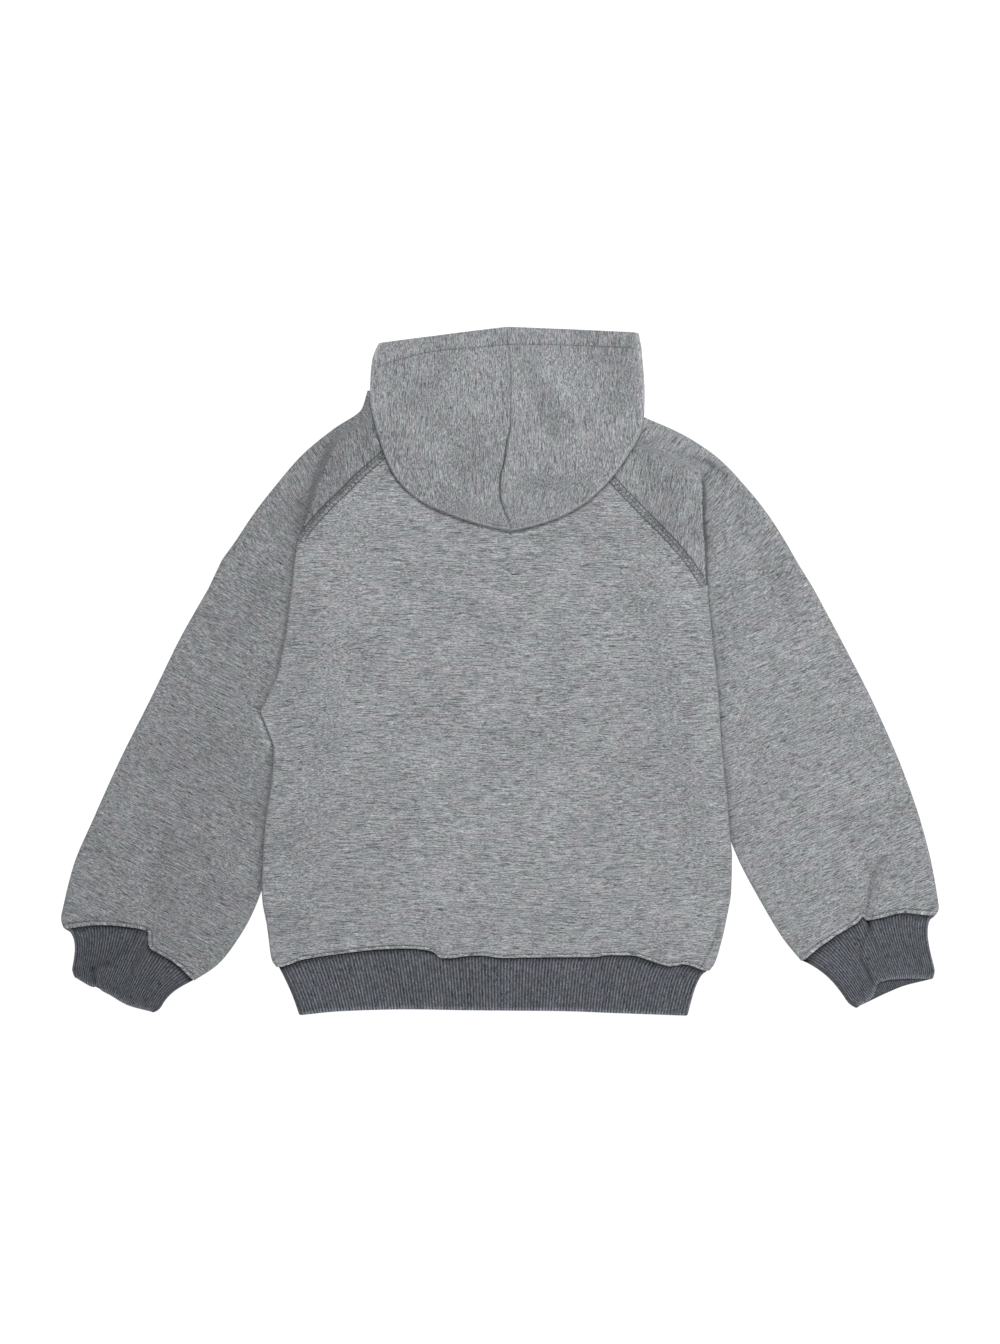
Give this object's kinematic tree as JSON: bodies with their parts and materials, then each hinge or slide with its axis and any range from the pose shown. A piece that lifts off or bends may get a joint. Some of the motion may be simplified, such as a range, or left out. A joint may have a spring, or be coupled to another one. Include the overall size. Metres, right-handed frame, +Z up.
{
  "type": "toddler hoodie",
  "caption": "Raglan-sleeved pullover hoodie for a toddler, laid flat with its back up and the hood turned down over the back.",
  "frame": {"origin": "on the surface that the garment lies on, under the middle of its box", "axes": "+Z up from the surface, out of the garment's back; +Y towards the hood; +X towards the wearer's right sleeve"},
  "size_m": [0.6579, 0.5156, 0.0223],
  "materials": {
    "fleece": "heathered grey brushed fleece, matt, with a soft nap",
    "rib": "dark blue-grey fine ribbed knit, matt",
    "thread": "dark grey spun sewing thread"
  },
  "bodies": {
    "root": {"back_panel": "fleece", "front_panel": "fleece", "sleeve_right": "fleece", "sleeve_left": "fleece", "hood_right": "fleece", "hood_left": "fleece", "hem_rib": "rib", "cuff_right": "rib", "cuff_left": "rib"}
  },
  "joints": []
}
